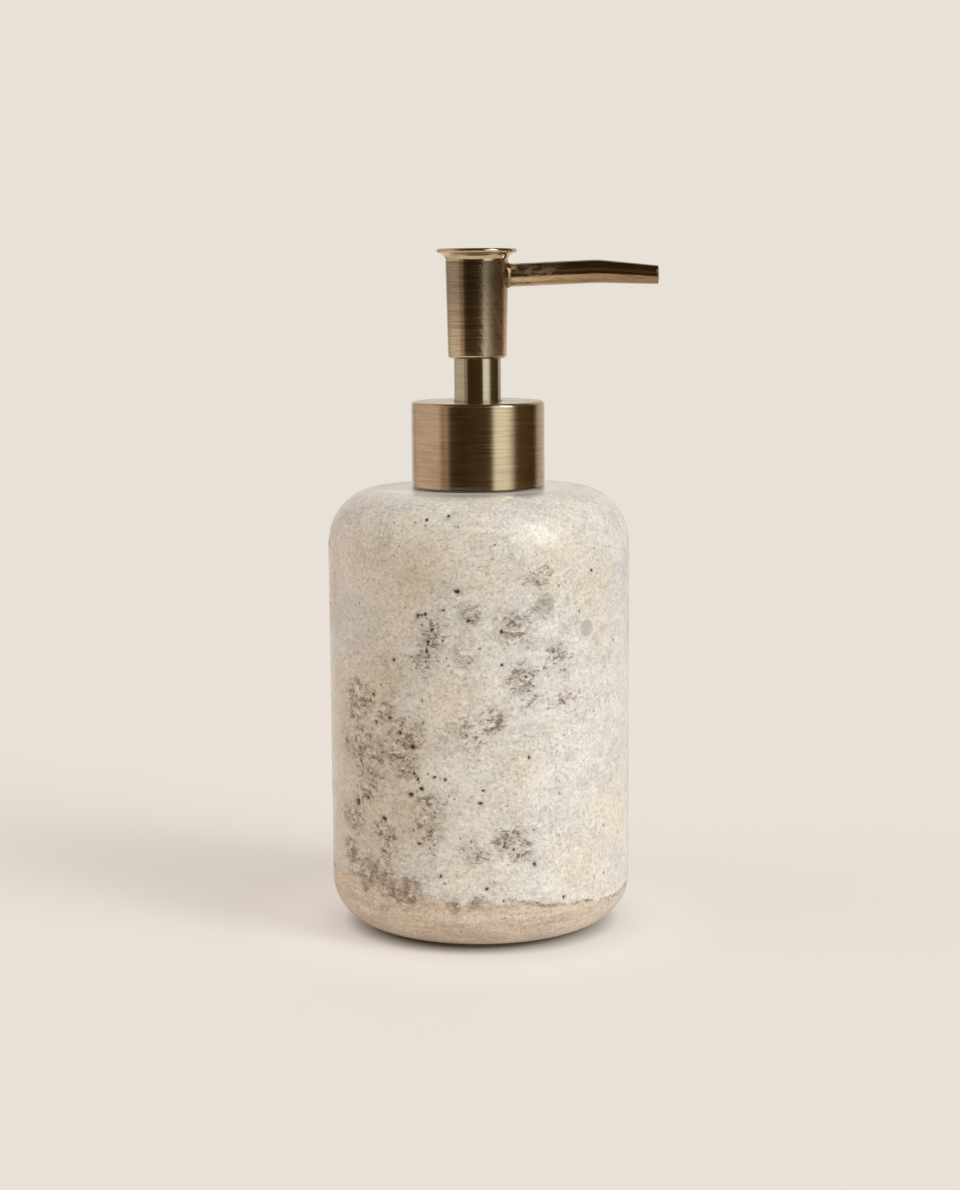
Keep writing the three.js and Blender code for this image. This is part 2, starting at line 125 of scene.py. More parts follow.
def spin(name, outline, segments, sharp_angle=SHARP_ANGLE):
    """Turns an outline about +Z. It runs up the outside and down the inside."""
    on_axis = [radius < 1e-7 for radius, _ in outline]
    closed = not (on_axis[0] and on_axis[-1])
    verts, rings = [], []
    for (radius, height), pole in zip(outline, on_axis):
        if pole:
            rings.append([len(verts)] * segments)
            verts.append((0.0, 0.0, height))
        else:
            rings.append(range(len(verts), len(verts) + segments))
            verts.extend((radius * x, radius * y, height) for x, y in circle(segments))
    faces = []
    pairs = list(zip(rings, rings[1:])) + ([(rings[-1], rings[0])] if closed else [])
    for low, high in pairs:
        for i in range(segments):
            j = (i + 1) % segments
            corners = [low[i], low[j], high[j], high[i]]
            faces.append(list(dict.fromkeys(corners)))
    return mesh_object(name, verts, faces, sharp_angle)


def meridian(node):
    """A turned CAD node's outline: its mesh edges in the half plane y = 0, x >= 0."""
    work = bmesh.new()
    work.from_mesh(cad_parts[node].data)
    bmesh.ops.remove_doubles(work, verts=work.verts, dist=1e-6)
    inside = [v for v in work.verts if abs(v.co.y) < 2e-6 and v.co.x > -2e-6]
    links = {v: [e.other_vert(v) for e in v.link_edges if e.other_vert(v) in inside] for v in inside}
    ends = [v for v in inside if len(links[v]) == 1]
    axis_points = [v for v in inside if v.co.x < 2e-6]
    start = (ends or axis_points or inside)[0]
    chain, previous, current = [start], None, start
    while True:
        onward = [v for v in links[current] if v is not previous]
        onward = [v for v in onward if not (v in axis_points and current in axis_points)]
        if not onward or onward[0] is start:
            break
        previous, current = current, onward[0]
        chain.append(current)
    outline = [(max(v.co.x, 0.0), v.co.z) for v in chain]
    work.free()
    wrapped = outline + outline[:1]
    area = sum(a[0] * b[1] - b[0] * a[1] for a, b in zip(wrapped, wrapped[1:]))
    return outline if area > 0 else outline[::-1]


def soften(piece, width):
    """A small bevel on the sharp corners."""
    bevel = piece.modifiers.new("edge", "BEVEL")
    bevel.width = width
    bevel.segments = 2
    bevel.limit_method = "ANGLE"
    bevel.angle_limit = math.radians(SHARP_ANGLE)
    return piece


def combine(piece, other, operation):
    """Joins the other object to a piece (UNION) or cuts it away (DIFFERENCE), and removes it."""
    boolean = piece.modifiers.new("combine", "BOOLEAN")
    boolean.operation = operation
    boolean.solver = "EXACT"
    boolean.object = other
    evaluated = piece.evaluated_get(bpy.context.evaluated_depsgraph_get())
    mesh = bpy.data.meshes.new_from_object(evaluated)
    piece.modifiers.clear()
    piece.data = mesh
    bpy.data.objects.remove(other)
    shade(mesh, 35)
    return piece


def ring_faces(rings, sides, closed=False):
    """Faces between rings of points; closed joins the last ring to the first."""
    faces = []
    for i in range(rings if closed else rings - 1):
        low, high = i * sides, (i + 1) % rings * sides
        for s in range(sides):
            t = (s + 1) % sides
            faces.append([low + s, low + t, high + t, high + s])
    return faces


def tube(name, centres, radii, sides):
    """A closed bar along a list of centres, with a radius at each."""
    verts = []
    count = len(centres)
    side_axis = None
    for i, (centre, radius) in enumerate(zip(centres, radii)):
        ahead = (centres[min(i + 1, count - 1)] - centres[max(i - 1, 0)]).normalized()
        if side_axis is None:
            side_axis = ahead.cross(Vector((0, 0, 1))).normalized()
        side_axis = (side_axis - ahead * side_axis.dot(ahead)).normalized()
        over_axis = ahead.cross(side_axis)
        verts.extend(centre + (side_axis * x + over_axis * y) * radius for x, y in circle(sides))
    faces = ring_faces(count, sides)
    faces.append(list(range(sides))[::-1])
    faces.append([(count - 1) * sides + s for s in range(sides)])
    return mesh_object(name, verts, faces, 50)


# ---- material helpers
def add(tree, kind, settings=None, **inputs):
    """Adds a shader node. Inputs are values or sockets to link, named with _ for a space, or _0, _1..."""
    made = tree.nodes.new("ShaderNode" + kind)
    for key, value in (settings or {}).items():
        setattr(made, key, value)
    for key, value in inputs.items():
        socket = made.inputs[int(key[1:])] if key[0] == "_" else made.inputs[key.replace("_", " ")]
        if isinstance(value, bpy.types.NodeSocket):
            tree.links.new(value, socket)
        else:
            socket.default_value = value
    return made


def ramp(tree, factor, stops):
    """A colour ramp from (position, colour) stops; a colour is a grey value or (r, g, b)."""
    made = add(tree, "ValToRGB", Fac=factor)
    elements = made.color_ramp.elements
    while len(elements) < len(stops):
        elements.new(0.5)
    for element, (position, colour) in zip(elements, stops):
        element.position = position
        rgb = (colour,) * 3 if isinstance(colour, (int, float)) else colour
        element.color = (*rgb, 1)
    return made.outputs["Color"]


def fade(tree, factor, zero_at, one_at):
    """0 on one side and 1 on the other, with a straight change between."""
    return ramp(tree, factor, sorted([(zero_at, 0.0), (one_at, 1.0)]))


def mix(tree, factor, first, second, mode="MIX"):
    """Mixes two colours, each a socket or (r, g, b)."""
    first, second = [(*colour, 1) if isinstance(colour, tuple) else colour for colour in (first, second)]
    settings = {"data_type": "RGBA", "blend_type": mode}
    return add(tree, "Mix", settings, _0=factor, _6=first, _7=second).outputs[2]


def maths(tree, operation, first, second=0.0):
    return add(tree, "Math", {"operation": operation}, _0=first, _1=second).outputs[0]


def plus(tree, first, second):
    return maths(tree, "ADD", first, second)


def minus(tree, first, second):
    return maths(tree, "SUBTRACT", first, second)


def times(tree, first, second):
    return maths(tree, "MULTIPLY", first, second)


def most(tree, first, second):
    return maths(tree, "MAXIMUM", first, second)


def shaded(tree, colour, factor):
    """A colour multiplied by another."""
    return mix(tree, 1.0, colour, factor, "MULTIPLY")


def noise(tree, vector, scale, detail=3.0, roughness=0.5, distortion=0.0):
    made = add(tree, "TexNoise", Vector=vector, Scale=scale, Detail=detail, Roughness=roughness,
               Distortion=distortion)
    return made.outputs["Fac"]


def height_of(tree, place):
    return add(tree, "SeparateXYZ", Vector=place).outputs[2]


def scaled(tree, vector, scale):
    return add(tree, "Mapping", Vector=vector, Scale=scale).outputs[0]


def new_material(name, **values):
    """A material with plain values set on its shader."""
    material = bpy.data.materials.new(name)
    material.use_nodes = True
    tree = material.node_tree
    shader = tree.nodes["Principled BSDF"]
    for key, value in values.items():
        shader.inputs[key.replace("_", " ")].default_value = value
    place = add(tree, "TexCoord").outputs["Object"]
    return material, tree, shader, place


def surface(tree, shader, colour, rough, relief=None, distance=0.0, strength=0.0):
    """Joins a colour, a roughness and maybe a relief to the shader."""
    tree.links.new(colour, shader.inputs["Base Color"])
    tree.links.new(rough, shader.inputs["Roughness"])
    if relief:
        made = add(tree, "Bump", Height=relief, Distance=distance, Strength=strength)
        tree.links.new(made.outputs["Normal"], shader.inputs["Normal"])


def dress(piece, body, slot, material, *replaced):
    """Gives a piece its material and body, and hides the CAD nodes that it stands for. slot is not used."""
    piece.data.materials.clear()
    piece.data.materials.append(material)
    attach(piece, body)
    if replaced:
        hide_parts(*replaced)
    return piece


# ---- travertine
def guide(tree, name, output="Fac"):
    """A value that the mesh carries."""
    return add(tree, "Attribute", {"attribute_name": name}).outputs[output]


def spread(tree, value, gain):
    """A noise value pulled apart about its middle."""
    return times(tree, minus(tree, value, 0.5), gain)


def ragged_guide(tree, name, pattern, gain):
    """A guide with its edge pushed in and out by a noise."""
    return plus(tree, guide(tree, name), spread(tree, pattern, gain))


def cells(tree, place, scale, chance, low, high):
    """Small pits of uneven outline in Voronoi cells. chance is the share of cells that have one."""
    found = add(tree, "TexVoronoi", {"feature": "F1"}, Vector=place, Scale=scale, Randomness=1.0)
    parts = add(tree, "SeparateColor", Color=found.outputs["Color"]).outputs
    chosen = maths(tree, "LESS_THAN", parts[0], chance)
    reach = plus(tree, times(tree, parts[1], high - low), low)
    inside = maths(tree, "DIVIDE", found.outputs["Distance"], reach)
    return times(tree, chosen, fade(tree, inside, 1.0, 0.5))


def over(tree, ground, share, strength, colour):
    """Lays a colour over the ground where share is 1."""
    return mix(tree, times(tree, share, strength), ground, colour)


def moved(tree, place, shake, reach):
    """Places pushed about by the shake vector, as far as reach."""
    return add(tree, "VectorMath", {"operation": "MULTIPLY_ADD"}, _0=shake, _1=(reach, reach, reach),
               _2=place).outputs[0]


def etched_lines(tree, place, scale, width):
    """Wandering hair lines, where a distorted noise crosses its middle."""
    off_middle = maths(tree, "ABSOLUTE", minus(tree, noise(tree, place, scale, 6.0, 0.7, 1.6), 0.5))
    return fade(tree, off_middle, width, 0.0)


def cream_ground(tree, place, flat, clouds):
    """Cream stone with grey-white clouds and veins, and its tan and warm zones."""
    ground = ramp(tree, noise(tree, place, 42, 5, 0.62, 0.8), [
        (0.34, (0.70, 0.625, 0.51)), (0.43, (0.71, 0.66, 0.565)), (0.50, (0.645, 0.615, 0.54)),
        (0.57, (0.73, 0.675, 0.59)), (0.66, (0.68, 0.62, 0.53)),
    ])
    milky = ramp(tree, noise(tree, flat, 120, 6, 0.7, 0.8), [(0.42, 0.0), (0.60, 0.7)])
    ground = mix(tree, milky, ground, (0.76, 0.715, 0.63))
    veined = ramp(tree, noise(tree, flat, 150, 7, 0.74, 1.0), [(0.50, 0.0), (0.64, 0.6)])
    ground = mix(tree, veined, ground, (0.55, 0.495, 0.425))
    zones = (("tan", 1.3, 0.75, (0.61, 0.51, 0.365)), ("warm", 1.0, 0.55, (0.72, 0.62, 0.465)))
    for name, raggedness, strength, colour in zones:
        zone = fade(tree, ragged_guide(tree, name, clouds, raggedness), 0.15, 0.85)
        ground = over(tree, ground, zone, strength, colour)
    return ground


def foot_band(tree, place, ground, into_band):
    """The tan layer at the foot, drawn out in lines."""
    streaks = noise(tree, scaled(tree, place, (70, 70, 420)), 1.0, 8, 0.72, 0.8)
    tan = ramp(tree, streaks, [
        (0.30, (0.45, 0.335, 0.235)), (0.45, (0.62, 0.485, 0.355)), (0.56, (0.71, 0.575, 0.43)),
        (0.70, (0.76, 0.665, 0.515)),
    ])
    return mix(tree, ramp(tree, into_band, [(0.36, 0.0), (0.66, 0.9)]), ground, tan)


def mottled(tree, place, ground, grain):
    """Grain and sand over the whole ground."""
    sand = noise(tree, place, 1300, 4, 0.7)
    coarse = ramp(tree, grain, [(0.37, 0.84), (0.47, 0.99), (0.55, 1.02), (0.64, 1.08)])
    fine = ramp(tree, sand, [(0.38, 0.72), (0.46, 0.98), (0.56, 1.02), (0.65, 1.16)])
    return shaded(tree, shaded(tree, ground, coarse), fine)


def rusty_parts(tree, place, clouds, grain, into_band):
    """Where the stone is rusty: in its zones, and in places along the foot band's upper edge."""
    rust = plus(tree, ragged_guide(tree, "rust", clouds, 0.8), spread(tree, grain, 2.4))
    seam = ramp(tree, into_band, [(0.36, 0.0), (0.47, 1.0), (0.55, 1.0), (0.66, 0.0)])
    broken = ramp(tree, noise(tree, place, 55, 4, 0.6), [(0.46, 0.0), (0.58, 0.9)])
    return most(tree, fade(tree, rust, 0.25, 0.80), times(tree, seam, broken))


def crumbled(tree, flat, ground, porous, rusty, anywhere):
    """A thin stain with dark and pale crumbs in it. Returns the dark crumbs too, for the relief."""
    crumb = noise(tree, flat, 500, 6, 0.76, 0.6)
    soiled = most(tree, porous, rusty)
    ground = over(tree, ground, porous, 0.34, (0.46, 0.37, 0.28))
    ground = over(tree, ground, rusty, 0.78, (0.37, 0.26, 0.175))
    dark = times(tree, fade(tree, crumb, 0.51, 0.57), soiled)
    stray = times(tree, fade(tree, crumb, 0.62, 0.67), anywhere)
    dark = most(tree, dark, stray)
    ground = over(tree, ground, dark, 0.92, (0.18, 0.125, 0.085))
    pale = times(tree, fade(tree, crumb, 0.44, 0.38), soiled)
    return over(tree, ground, pale, 0.78, (0.90, 0.84, 0.74)), dark


def open_pits(tree, shake):
    """The open pits and their stained rims, from the way to the nearest pit in that pit's own radii."""
    from_pit = moved(tree, guide(tree, "pit_way", "Vector"), shake, 2.2)
    away = add(tree, "VectorMath", {"operation": "LENGTH"}, _0=from_pit).outputs["Value"]
    share = times(tree, away, 0.4)
    beside = guide(tree, "pit_near")
    pit = times(tree, fade(tree, share, 0.40, 0.22), beside)
    rim = times(tree, fade(tree, share, 0.80, 0.35), beside)
    return pit, rim


def travertine():
    """Cream, sealed travertine. The mesh's guides say where its zones, pores, pits and ovals are."""
    material, tree, shader, place = new_material(
        "travertine", IOR=1.5, Coat_Weight=0.6, Coat_Roughness=0.10, Coat_IOR=1.5)
    flat = scaled(tree, place, (1.0, 1.0, 1.6))
    wander = add(tree, "TexNoise", Vector=place, Scale=800.0, Detail=3.0, Roughness=0.65).outputs["Color"]
    shake = add(tree, "VectorMath", {"operation": "SUBTRACT"}, _0=wander, _1=(0.5, 0.5, 0.5)).outputs[0]
    clouds = noise(tree, flat, 80, 8, 0.68, 0.5)
    grain = noise(tree, flat, 260, 9, 0.76, 0.4)
    into_band = plus(tree, ragged_guide(tree, "band", clouds, 0.9), spread(tree, grain, 0.7))
    ground = cream_ground(tree, place, flat, clouds)
    ground = foot_band(tree, place, ground, into_band)
    ground = mottled(tree, place, ground, grain)
    # hair lines, stains and crumbs, crowded in ragged clusters
    crowd = ragged_guide(tree, "porous", clouds, 1.0)
    porous = fade(tree, plus(tree, crowd, spread(tree, grain, 2.4)), 0.22, 0.80)
    rusty = rusty_parts(tree, place, clouds, grain, into_band)
    anywhere = ramp(tree, noise(tree, place, 75, 4), [(0.40, 0.10), (0.62, 0.75)])
    busy = most(tree, most(tree, porous, rusty), anywhere)
    hairs = times(tree, etched_lines(tree, flat, 200, 0.036), busy)
    ground = over(tree, ground, hairs, 0.55, (0.36, 0.295, 0.23))
    ground, dark = crumbled(tree, flat, ground, porous, rusty, anywhere)
    # grey fossil ovals
    ovals = ragged_guide(tree, "oval", grain, 0.6)
    ground = over(tree, ground, fade(tree, ovals, 0.30, 0.52), 0.62, (0.36, 0.335, 0.275))
    # small and large pores, most of them in the clusters
    shaken = moved(tree, place, shake, 1.1 * MM)
    small_chance = ramp(tree, crowd, [(0.0, 0.03), (0.5, 0.20), (0.95, 0.50)])
    small = cells(tree, shaken, 800.0, small_chance, 0.18, 0.42)
    large_chance = ramp(tree, crowd, [(0.0, 0.008), (0.6, 0.08), (1.0, 0.20)])
    large = cells(tree, shaken, 380.0, large_chance, 0.10, 0.24)
    ground = over(tree, ground, small, 0.75, (0.16, 0.12, 0.085))
    ground = over(tree, ground, large, 0.9, (0.085, 0.06, 0.038))
    # painted light: a paler ring on the top round the collar, against the shade that the pump casts there;
    # and the open pits
    ground = over(tree, ground, guide(tree, "ring"), 0.75, (0.90, 0.86, 0.78))
    pit, rim = open_pits(tree, shake)
    ground = over(tree, ground, rim, 0.5, (0.37, 0.29, 0.21))
    ground = mix(tree, pit, ground, (0.050, 0.034, 0.020))
    holes = most(tree, large, pit)
    rough = plus(tree, ramp(tree, grain, [(0.3, 0.30), (0.7, 0.42)]), times(tree, holes, 0.4))
    relief = spread(tree, grain, 0.7)
    for dent, depth in ((holes, 1.0), (small, 0.5), (dark, 0.4), (hairs, 0.3)):
        relief = minus(tree, relief, times(tree, dent, depth))
    surface(tree, shader, ground, rough, relief, 0.30 * MM, 0.6)
    return material


# ---- metals
def tinted(share):
    return tuple(share * c for c in BRASS)


def across_ramp(tree, place, stops, reach=10.0):
    """A ramp along X, from (x in mm, value) stops within reach mm either way."""
    across = add(tree, "SeparateXYZ", Vector=place).outputs[0]
    share = plus(tree, times(tree, across, 0.5 / (reach * MM)), 0.5)
    return ramp(tree, share, [(0.5 + 0.5 * at / reach, value) for at, value in stops])


# Tints in (x in mm, tint) stops. The barrel's are painted light and shade: darker at its left edge and
# beside the spout, with a painted highlight at its right edge. The spout's are painted shade: darker at the
# bead by its root and towards its tip.
BARREL_PAINTED_SHADING = [
    (-7.3, (0.74, 0.76, 0.72)), (-6.5, (0.84, 0.92, 0.90)), (-5.9, (0.95, 1.0, 1.0)),
    (-4.0, (0.92, 0.92, 0.96)), (0.0, 1.0), (1.9, (0.80, 0.80, 0.82)), (2.5, 0.55),
    (3.1, (0.38, 0.37, 0.34)), (3.7, (0.34, 0.32, 0.28)), (4.4, (0.48, 0.42, 0.34)),
    (5.2, (0.76, 0.64, 0.50)), (6.2, (0.95, 0.80, 0.66)), (6.8, (1.45, 1.3, 1.35)),
]
SLEEVE_PATINA = [(-5.0, (0.74, 0.86, 0.94)), (5.0, (0.74, 0.83, 0.88))]
# painted shade on the spout: darker at the bead by its root and towards its tip
SPOUT_PAINTED_SHADE = [
    (8.2, (0.50, 0.44, 0.38)), (8.9, 1.0), (14.0, (0.98, 0.88, 0.80)), (20.0, (0.86, 0.75, 0.64)),
    (25.0, (0.66, 0.58, 0.50)), (32.0, (0.60, 0.51, 0.43)), (44.0, (0.60, 0.50, 0.42)),
]


def collar_satin_and_gap_shade(tree, place, tint, rough, satin_above):
    """The collar's top is satin above a height, and its lower edge is painted dark: painted shade of its gap
    over the stone.
    """
    height = height_of(tree, place)
    above = times(tree, minus(tree, height, satin_above), 1 / MM)
    rough = mix(tree, fade(tree, above, 0.0, 0.5), rough, (0.20, 0.20, 0.20))
    # painted shade: a dark line along the collar's lowest edge
    rise = times(tree, minus(tree, height, COLLAR_LOW.z), 1 / (5 * MM))
    painted_gap_shade = ramp(tree, rise, [(0.02, (0.15, 0.12, 0.09)), (0.08, 1.0)])
    return shaded(tree, tint, painted_gap_shade), rough


def aged_brass(name, pattern_of, roughness, anisotropy, line_depth, tint_and_painted_shade=None, satin_above=None,
               groove=0.02 * MM):
    """Lacquered aged brass, lined by pattern_of(tree, place). roughness is (plain, scuffed) side.

    Given stops tint it along X; with them it is also painted lighter lower down and darker towards the
    head's rim: painted light and shade."""
    material, tree, shader, place = new_material(name, Metallic=1.0, Anisotropic=anisotropy)
    pattern = pattern_of(tree, place)
    patches = noise(tree, place, 110, 4, 0.6)
    tint = ramp(tree, patches, [(0.3, tinted(0.88)), (0.5, BRASS), (0.72, tinted(1.06))])
    lines = ramp(tree, pattern, [(0.38, 0.60), (0.5, 1.0), (0.62, 1.30)])
    tint = mix(tree, line_depth, tint, lines, "MULTIPLY")
    if tint_and_painted_shade:
        tint = shaded(tree, tint, across_ramp(tree, place, tint_and_painted_shade))
        # painted light and shade: lighter lower on the head, darker under the head's rim
        rise = times(tree, height_of(tree, place), 1.0 / HEAD_HIGH.z)
        tint = shaded(tree, tint, ramp(tree, rise, [(0.85, 1.18), (0.90, 1.02), (0.965, 0.60)]))
    low, high = roughness
    grey = low
    if high > low:
        grey = across_ramp(tree, place, [(-0.5, low), (2.0, high)])
    rough = times(tree, ramp(tree, pattern, [(0.25, 0.55), (0.5, 1.0), (0.75, 1.7)]), grey)
    if satin_above:
        tint, rough = collar_satin_and_gap_shade(tree, place, tint, rough, satin_above)
    surface(tree, shader, tint, rough, pattern, groove, 0.35)
    if anisotropy:
        around = add(tree, "Tangent", {"direction_type": "RADIAL", "axis": "Z"}).outputs[0]
        tree.links.new(around, shader.inputs["Tangent"])
    return material


def spout_brass():
    """Polished metal, tinted coppery and painted darker at the bead by its root and towards its tip as
    painted shade, with faint smears, and olive scuffs beside the head.
    """
    material, tree, shader, place = new_material("spout_brass", Metallic=1.0)
    reach = 45.0
    smears = faint_smears(tree, place)
    long_smears = noise(tree, scaled(tree, place, (160, 900, 900)), 1.0, 5, 0.66, 0.8)
    tint = ramp(tree, long_smears, [(0.32, tinted(0.66)), (0.5, BRASS), (0.66, tinted(1.12))])
    # painted shade along the spout, from its stops
    tint = shaded(tree, tint, across_ramp(tree, place, SPOUT_PAINTED_SHADE, reach))
    by_head = across_ramp(tree, place, [(9.0, 0.85), (18.0, 1.0), (23.0, 0.0)], reach)
    torn = noise(tree, scaled(tree, place, (420, 800, 800)), 1.0, 5, 0.7)
    scuffs = times(tree, by_head, fade(tree, torn, 0.44, 0.56))
    rough = plus(tree, ramp(tree, smears, [(0.35, 0.09), (0.65, 0.17)]), times(tree, scuffs, 0.30))
    surface(tree, shader, tint, rough, plus(tree, smears, long_smears), 0.06 * MM, 0.5)
    return material


def turned_lines(tree, place):
    """Fine broken lines round the axis, with a few deeper ones."""
    fine = noise(tree, scaled(tree, place, (90, 90, 5600)), 1.0, 2, 0.6)
    deep = noise(tree, scaled(tree, place, (55, 55, 2300)), 1.0, 3, 0.75)
    return plus(tree, times(tree, fine, 0.5), times(tree, deep, 0.5))


def slanting_scratches(tree, place):
    """Fine turned lines, crossed by slanting and curved scratches on the scuffed side."""
    angle = times(tree, height_of(tree, place), 70.0)
    twisted = add(tree, "VectorRotate", {"rotation_type": "Z_AXIS"}, Vector=place, Angle=angle).outputs[0]
    slanting = noise(tree, scaled(tree, twisted, (1900, 1900, 260)), 1.0, 4, 0.7, 0.8)
    share = across_ramp(tree, place, [(-0.5, 0.0), (1.5, 0.6)])
    return mix(tree, share, turned_lines(tree, place), slanting)


def faint_smears(tree, place):
    """The slight unevenness of polished plating."""
    return noise(tree, scaled(tree, place, (180, 500, 700)), 1.0, 5, 0.62, 0.6)


# ---- plastics, rubber, steel and glass
def moulded_plastic(name, colour, roughness, translucent):
    material, tree, shader, place = new_material(
        name, Subsurface_Weight=translucent, Subsurface_Scale=2 * MM, IOR=1.49)
    darker = tuple(0.86 * c for c in colour)
    cloudy = ramp(tree, noise(tree, place, 260, 3, 0.5), [(0.3, darker), (0.7, colour)])
    satin = noise(tree, place, 2400, 2, 0.5)
    rough = ramp(tree, satin, [(0.3, roughness * 0.85), (0.7, roughness * 1.15)])
    surface(tree, shader, cloudy, rough, satin, 0.01 * MM, 0.3)
    return material


def foam_rubber(name, colour):
    material, tree, shader, place = new_material(name, IOR=1.45)
    foam = add(tree, "TexVoronoi", Vector=place, Scale=1800.0).outputs["Distance"]
    darker = tuple(0.5 * c for c in colour)
    tint = ramp(tree, foam, [(0.1, colour), (0.6, darker)])
    surface(tree, shader, tint, ramp(tree, foam, [(0.1, 0.75), (0.6, 0.95)]), foam, 0.08 * MM, 0.5)
    return material


def spring_wire():
    material, tree, shader, place = new_material("spring_wire", Metallic=1.0)
    drawn = noise(tree, place, 1400, 3, 0.6)
    tint = ramp(tree, drawn, [(0.3, (0.42, 0.42, 0.43)), (0.7, (0.62, 0.62, 0.63))])
    surface(tree, shader, tint, ramp(tree, drawn, [(0.3, 0.22), (0.7, 0.36)]), drawn, 0.01 * MM, 0.3)
    return material


def clear_glass():
    material, tree, shader, place = new_material("ball_glass", IOR=1.5, Transmission_Weight=0.9)
    seeds = noise(tree, place, 900, 2, 0.5)
    tint = ramp(tree, seeds, [(0.3, (0.78, 0.84, 0.83)), (0.7, (0.88, 0.92, 0.91))])
    surface(tree, shader, tint, ramp(tree, seeds, [(0.3, 0.03), (0.7, 0.08)]))
    return material


# ---- stone vessel
# What the front shows, and zones all round: (degrees round from the front, height mm, size mm).
PITS = [
    (-8, 88.5, 0.85), (-13, 84, 0.45), (-20, 83, 0.5), (-23, 82.5, 0.5), (-4, 81.7, 0.45), (8, 79, 0.55),
    (-19, 76.5, 0.5), (-17.5, 79.5, 0.5), (-19.5, 74.3, 0.45), (46, 92, 0.55), (-12, 106, 0.45),
    (-21, 105, 0.4), (-43, 62.5, 0.5), (-35, 57.5, 0.6), (-29.5, 56.5, 0.45), (-42, 56, 0.6),
    (-31, 54, 0.65), (-25.5, 51, 0.8), (-25, 44.5, 0.5), (-23.5, 43.2, 0.4), (-26.5, 39.3, 0.75),
    (-22, 41, 0.55), (-47, 37, 0.7), (-53, 35.2, 0.85), (-38.5, 32.5, 0.8), (-17, 44, 0.45),
    (-13, 43.5, 0.4), (0, 38, 0.6), (1, 41, 0.45), (18, 48.5, 0.45), (-23, 27.5, 0.5), (20, 22.5, 0.5),
    (2, 17, 0.5), (12, 26.5, 0.4), (32, 13.5, 0.4), (8, 71, 0.4), (17, 68, 0.4), (-15, 20, 0.4),
    (-33, 71.5, 0.45),
]
CLUSTERS = [
    (-18, 78, 5), (-20, 72, 4), (14, 80, 5), (24, 84, 3.5), (31, 72, 4.5), (16, 68, 4.5), (-7, 73, 3.5),
    (-4, 83, 3), (-2, 56, 5), (3, 57, 4), (-52, 60, 7), (-36, 58, 5), (-52, 50, 7), (-38, 49, 5),
    (-26, 52, 4), (-20, 36, 5), (-38, 29, 4.5), (-37, 25, 4), (-19, 30, 4), (11, 29, 4.5), (15, 27, 3.5),
    (-2, 25, 4), (-46, 40, 5), (-55, 32, 5), (20, 62, 3), (32, 62, 3), (22, 92, 2.5), (-30, 45, 4),
]
OVALS = [(24.5, 85.0, 2.6), (43, 78.3, 2.2)]
TAN_ZONES = [
    (-60, 52, 16), (-52, 36, 17), (-34, 50, 9), (-26, 34, 8), (-22, 92, 6), (-38, 66, 8), (150, 45, 22),
    (95, 75, 14), (210, 88, 16),
]
WARM_ZONES = [
    (-16, 98, 9), (-30, 84, 8), (-2, 104, 8), (4, 92, 7), (-44, 92, 10), (30, 98, 12), (46, 88, 10),
    (14, 46, 6), (-12, 62, 7), (-50, 62, 10), (60, 30, 10), (40, 20, 9), (-8, 20, 5), (120, 60, 16),
    (190, 60, 18), (240, 50, 16), (280, 90, 12),
]
RUST_ZONES = [
    (-58, 21, 4.5), (-46, 19, 4.5), (-37, 17.5, 4.5), (-28, 15.5, 4), (-10, 13.7, 2.6), (-2, 13, 2.4),
    (100, 14, 5), (140, 17, 6), (170, 14, 4), (230, 20, 6), (260, 17, 5),
]
BACK_FROM, BACK_TO = 84, 276  # degrees: the sides and back, where the features are drawn at random
BACK_CLUSTERS = 50
FAR_AWAY = 9.0  # in pit radii
PIT_REACH = 2.6


def stone_outline():
    """The whole wall: foot, side, shoulder, top, mouth and bore, in fine steps where it shows."""
    fine = 0.6 * MM
    foot_z, top_z = STONE_LOW.z, STONE_HIGH.z
    recess, bore, mouth = 25.0 * MM, 23.5 * MM, 14.6 * MM
    shelf_z, bore_top = foot_z + 6.05 * MM, 99.5 * MM
    side_low = (BODY_RADIUS, foot_z + FOOT_ROUND)
    side_high = (BODY_RADIUS, top_z - SHOULDER_HEIGHT)
    outline = [(recess, foot_z)]
    outline += arc(BODY_RADIUS - FOOT_ROUND, side_low[1], FOOT_ROUND, -90, 0, 30)
    outline += run(side_low, side_high, round((side_high[1] - side_low[1]) / fine))
    outline += arc(BODY_RADIUS - SHOULDER_WIDTH, side_high[1], SHOULDER_WIDTH, 0, 90, 35, SHOULDER_HEIGHT)
    flat_end = (mouth + 0.5 * MM, top_z)
    outline += run(outline[-1], flat_end, 12) + [flat_end, (mouth, top_z - 0.5 * MM), (mouth, bore_top)]
    outline += [(bore - 4 * MM, bore_top), (bore, bore_top - 4 * MM), (bore, shelf_z), (recess, shelf_z)]
    return outline


def surface_point(angle, height):
    """A point on the vessel's outside, from degrees round the front and height in mm."""
    z = height * MM
    radius = BODY_RADIUS
    rise = z - (STONE_HIGH.z - SHOULDER_HEIGHT)
    drop = STONE_LOW.z + FOOT_ROUND - z
    if rise > 0:
        radius -= SHOULDER_WIDTH * (1 - math.sqrt(max(1 - (rise / SHOULDER_HEIGHT) ** 2, 0)))
    if drop > 0:
        radius -= FOOT_ROUND - math.sqrt(max(FOOT_ROUND**2 - drop**2, 0))
    turn = math.radians(angle)
    return np.array([radius * math.sin(turn), -radius * math.cos(turn), z])


